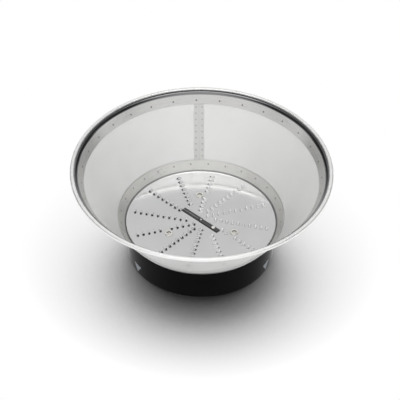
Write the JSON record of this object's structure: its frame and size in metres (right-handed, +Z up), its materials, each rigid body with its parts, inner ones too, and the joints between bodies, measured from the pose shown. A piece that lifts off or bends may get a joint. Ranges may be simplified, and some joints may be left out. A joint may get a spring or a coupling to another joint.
{
  "type": "juicer filter basket",
  "caption": "Conical micro-mesh juicer basket with a rolled steel rim, a toothed cutting disc and centre blade in its floor, and a black drive base with sprung latch tongues.",
  "frame": {"origin": "middle of the flat foot of the drive base", "axes": "+Z up along the spin axis, -Y towards the front of the picture"},
  "size_m": [0.19, 0.19, 0.0763],
  "materials": {
    "polished_steel": "polished stainless sheet",
    "mesh_steel": "fine etched micro-mesh",
    "band_steel": "brushed round the cone",
    "disc_steel": "polished stainless disc",
    "blade_coat": "dark hard coat",
    "stud_steel": "bright steel",
    "rivet_steel": "bright steel",
    "black_moulding": "glossy moulded black",
    "arrow_grey": "grey inlay",
    "bush_steel": "turned steel",
    "latch_plastic": "black acetal"
  },
  "bodies": {
    "basket": {"rim_ring": "polished_steel", "mesh_cone": "mesh_steel", "seam_strap": "band_steel", "base_pan": "band_steel", "cutting_disc": "disc_steel", "centre_blade": "blade_coat", "blade_studs": "stud_steel", "disc_rivets": "rivet_steel", "rivet_washers": "rivet_steel", "drive_base": "black_moulding", "alignment_arrows": "arrow_grey", "hub_bush": "bush_steel"},
    "latch_1": {"latch_tongue_1": "latch_plastic"},
    "latch_2": {"latch_tongue_2": "latch_plastic"},
    "latch_3": {"latch_tongue_3": "latch_plastic"}
  },
  "joints": [
    {"name": "latch_flex_1", "type": "hinge", "parent": "basket", "child": "latch_1", "pos_m": [-0.01795, 0.00938, 0.017], "axis": [-0.4633, -0.8862, 0], "range_deg": [0, 5], "stiffness_Nm_per_rad": 0.4},
    {"name": "latch_flex_2", "type": "hinge", "parent": "basket", "child": "latch_2", "pos_m": [0.00085, -0.02023, 0.017], "axis": [0.9991, 0.0419, 0], "range_deg": [0, 5], "stiffness_Nm_per_rad": 0.4},
    {"name": "latch_flex_3", "type": "hinge", "parent": "basket", "child": "latch_3", "pos_m": [0.0171, 0.01085, 0.017], "axis": [-0.5358, 0.8443, 0], "range_deg": [0, 5], "stiffness_Nm_per_rad": 0.4}
  ]
}
